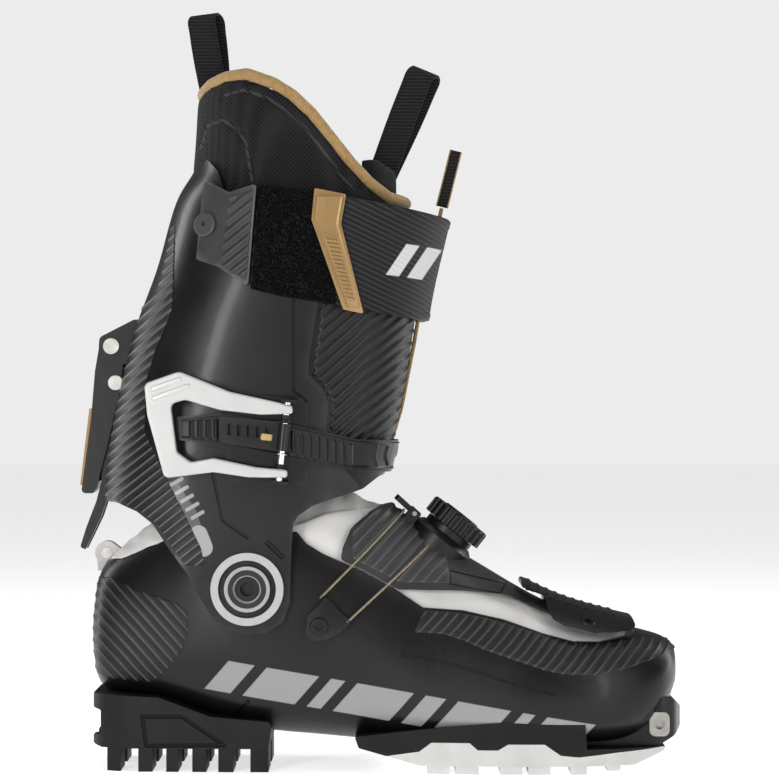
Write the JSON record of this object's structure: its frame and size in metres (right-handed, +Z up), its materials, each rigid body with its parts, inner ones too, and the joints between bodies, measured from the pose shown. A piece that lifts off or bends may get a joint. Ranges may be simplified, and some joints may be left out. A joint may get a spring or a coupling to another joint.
{
  "type": "alpine touring boot",
  "caption": "Ski touring boot: stiff clog with dial lacing, hinged cuff with buckle, power strap and rear walk lever, and a padded liner.",
  "frame": {"origin": "on the floor under the middle of the boot's bounding box", "axes": "+X to the toe, +Y to the medial side, +Z up"},
  "size_m": [0.3041, 0.1198, 0.3837],
  "materials": {
    "clog_plastic": "charcoal reinforced nylon, satin",
    "flap_plastic": "dark smoky elastomer with moulded ribs",
    "cuff_plastic": "carbon-filled black nylon, satin",
    "sole_grey": "light grey rubber",
    "sole_black": "black rubber",
    "nickel": "nickel-plated steel",
    "black_metal": "black anodised aluminium",
    "silver_ring": "silver-grey painted metal",
    "buckle_grey": "light grey lacquered magnesium, satin",
    "chrome": "bright chrome",
    "ladder_plastic": "black flexible polyurethane with moulded teeth",
    "white_gaiter": "very light warm grey coated gaiter",
    "lug_grey": "light grey moulded part",
    "liner_fabric": "black padded mesh over foam",
    "gold_knit": "bronze-gold elastic piping",
    "gold_metal": "bronze-gold moulded part",
    "strap_webbing": "black twill and loop-pile strap",
    "loop_webbing": "black ribbed webbing",
    "lace_cord": "beige coated steel lace",
    "release_line": "bronze-gold braided cord",
    "board_plastic": "grey moulded board"
  },
  "bodies": {
    "clog": {"lower_shell": "clog_plastic", "sole_rand": "sole_black", "forefoot_sole": "sole_grey", "heel_sole": "sole_black", "toe_inserts": "nickel", "heel_insert": "nickel", "heel_insert_screws": "nickel", "boot_board": "board_plastic", "liner_foot": "liner_fabric", "footbed": "board_plastic", "instep_gaiter": "white_gaiter", "instep_flap": "flap_plastic", "heel_collar": "white_gaiter", "heel_lug": "lug_grey", "heel_lug_pin": "nickel", "toe_clip": "clog_plastic", "toe_clip_screws": "black_metal", "lace_guide_lateral": "clog_plastic", "lace_guide_medial": "clog_plastic", "lace_guide_screws": "black_metal", "dial_base": "ladder_plastic", "release_clip_ears": "clog_plastic", "release_clip_pin": "nickel", "pivot_bolts": "nickel", "pivot_nuts": "black_metal", "lace": "lace_cord"},
    "dial": {"dial_spool": "ladder_plastic", "dial_knob": "ladder_plastic"},
    "release_clip": {"release_clip": "ladder_plastic"},
    "cuff": {"cuff_shell": "cuff_plastic", "cuff_front": "cuff_plastic", "pivot_bushes": "black_metal", "pivot_rings": "silver_ring", "strap_anchor_lateral": "cuff_plastic", "strap_anchor_medial": "cuff_plastic", "strap_rivets": "black_metal", "power_strap": "strap_webbing", "strap_pull": "gold_metal", "buckle_base": "black_metal", "buckle_axle": "chrome", "ladder_strap": "ladder_plastic", "buckle_spring": "chrome", "ladder_keeper": "ladder_plastic", "ladder_rivet": "black_metal", "lever_bracket": "black_metal", "lever_pin": "nickel", "liner_shaft": "liner_fabric", "liner_piping": "gold_knit", "liner_tongue": "liner_fabric", "rear_pull_loop": "loop_webbing", "front_pull_loop": "loop_webbing", "release_tab": "loop_webbing", "release_cord": "release_line"},
    "buckle_lever": {"buckle_lever": "buckle_grey"},
    "buckle_latch": {"buckle_latch": "black_metal"},
    "walk_lever": {"walk_lever": "black_metal", "lever_inlay": "gold_metal", "link_pin": "nickel"},
    "lock_bar": {"lock_bar": "black_metal"}
  },
  "joints": [
    {"name": "cuff_pivot", "type": "hinge", "parent": "clog", "child": "cuff", "pos_m": [-0.067, 0, 0.092], "axis": [0, 1, 0], "range_deg": [-30, 5]},
    {"name": "walk_lever_hinge", "type": "hinge", "parent": "cuff", "child": "walk_lever", "pos_m": [-0.1375, 0, 0.2125], "axis": [0, 1, 0], "range_deg": [0, 110]},
    {"name": "lock_bar_hinge", "type": "hinge", "parent": "walk_lever", "child": "lock_bar", "pos_m": [-0.1355, 0, 0.194], "axis": [0, 1, 0], "range_deg": [-110, 0]},
    {"name": "buckle_lever_hinge", "type": "hinge", "parent": "cuff", "child": "buckle_lever", "pos_m": [-0.049, -0.0566, 0.165], "axis": [0.1104, 0, 0.9939], "range_deg": [0, 130]},
    {"name": "buckle_latch_hinge", "type": "hinge", "parent": "cuff", "child": "buckle_latch", "pos_m": [-0.049, -0.0566, 0.165], "axis": [0.1104, 0, 0.9939], "range_deg": [0, 18], "stiffness_Nm_per_rad": 0.03, "springref_deg": -5.73},
    {"name": "dial_turn", "type": "hinge", "parent": "clog", "child": "dial", "pos_m": [0.0315, 0, 0.1155], "axis": [0.6198, 0, 0.7848], "continuous": true},
    {"name": "release_clip_hinge", "type": "hinge", "parent": "clog", "child": "release_clip", "pos_m": [0.01605, 0, 0.1277], "axis": [0, 1, 0], "range_deg": [0, 18], "stiffness_Nm_per_rad": 0.02, "springref_deg": -5.73}
  ],
  "couplings": [
    {"joint": "lock_bar_hinge", "follows": "walk_lever_hinge", "ratio": -1}
  ]
}
